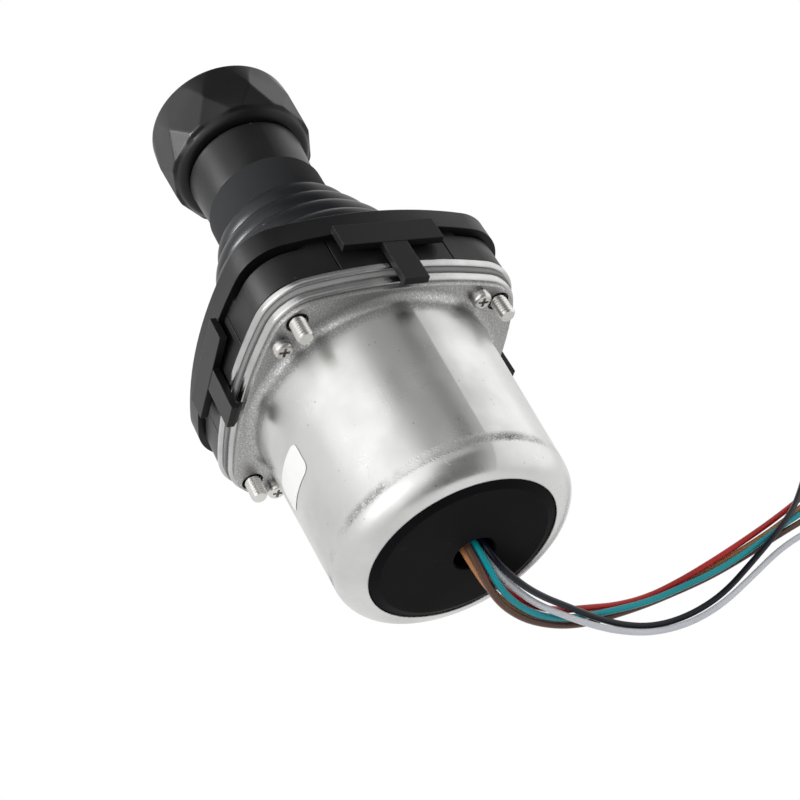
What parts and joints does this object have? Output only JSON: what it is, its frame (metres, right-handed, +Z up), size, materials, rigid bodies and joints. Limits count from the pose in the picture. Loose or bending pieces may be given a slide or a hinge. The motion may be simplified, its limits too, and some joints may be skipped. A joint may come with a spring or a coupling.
{
  "type": "industrial joystick",
  "caption": "Two-axis lever joystick with a faceted twist knob, bellows boot, square clip-on bezel, steel can and six flying leads.",
  "frame": {"origin": "centre of the four mounting screws, on the underside of the can's square flange", "axes": "+X along the lever from the mounting face to the knob, +Z up from the table it lies on, +Y to the left of the lever"},
  "size_m": [0.1627, 0.1819, 0.073],
  "materials": {
    "black_nylon": "fine-textured black nylon",
    "knob_plastic": "satin black moulded plastic",
    "boot_rubber": "soft matte black rubber",
    "plug_plastic": "matte black plastic",
    "plated_sheet": "bright zinc-plated sheet with a rolled edge",
    "grey_gasket": "grey fibre gasket",
    "drawn_steel": "deep-drawn steel, satin with draw marks",
    "zinc_screw": "zinc-plated screw steel",
    "turned_steel": "turned steel",
    "bronze_bush": "sintered bronze",
    "gimbal_alloy": "machined alloy",
    "spring_steel": "spring steel",
    "magnet": "nickel-plated magnet",
    "board_green": "green solder mask",
    "chip_black": "black chip package",
    "connector_white": "natural nylon",
    "lead_brown": "brown insulation",
    "lead_tan": "orange-tan insulation",
    "lead_teal": "teal insulation",
    "lead_red": "red insulation",
    "lead_white": "white insulation",
    "lead_black": "black insulation"
  },
  "bodies": {
    "base": {"can": "drawn_steel", "end_plug": "plug_plastic", "lower_plate": "plated_sheet", "spacer_plate": "grey_gasket", "upper_plate": "plated_sheet", "housing_block": "black_nylon", "bezel_frame": "black_nylon", "rubber_boot": "boot_rubber", "mounting_screws": "zinc_screw", "can_screws": "zinc_screw", "spring_washers": "spring_steel", "outer_pivot_pins": "turned_steel", "return_spring": "spring_steel", "sensor_board": "board_green", "board_standoffs": "turned_steel", "board_screws": "zinc_screw", "hall_sensors": "chip_black", "lead_connector": "connector_white", "wire_brown": "lead_brown", "wire_tan": "lead_tan", "wire_teal": "lead_teal", "wire_red": "lead_red", "wire_white": "lead_white", "wire_black": "lead_black"},
    "gimbal": {"gimbal_ring": "gimbal_alloy", "gimbal_bushes": "bronze_bush"},
    "lever": {"inner_pivot_pins": "turned_steel", "pivot_hub": "gimbal_alloy", "lever_tube": "turned_steel", "spring_cup": "plug_plastic", "grip_sleeve": "knob_plastic", "magnet_carrier": "connector_white", "ring_magnet": "magnet", "twist_spring": "spring_steel", "retaining_ring": "spring_steel"},
    "knob": {"knob_body": "knob_plastic", "knob_cap": "knob_plastic", "knob_nut": "zinc_screw", "knob_base_plate": "plug_plastic", "twist_shaft": "turned_steel", "twist_magnet": "magnet"}
  },
  "joints": [
    {"name": "tilt_side", "type": "hinge", "parent": "base", "child": "gimbal", "pos_m": [0.0113, 0, 0], "axis": [0, 0, 1], "range_deg": [-20, 20], "stiffness_Nm_per_rad": 2.5, "deforming": ["rubber_boot", "return_spring"]},
    {"name": "tilt_fore", "type": "hinge", "parent": "gimbal", "child": "lever", "pos_m": [0.0113, 0, 0], "axis": [0, 1, 0], "range_deg": [-20, 20], "stiffness_Nm_per_rad": 2.5, "deforming": ["rubber_boot", "return_spring"]},
    {"name": "knob_twist", "type": "hinge", "parent": "lever", "child": "knob", "pos_m": [0.0865, 0, 0], "axis": [1, 0, 0], "range_deg": [-35, 35], "stiffness_Nm_per_rad": 0.25}
  ]
}
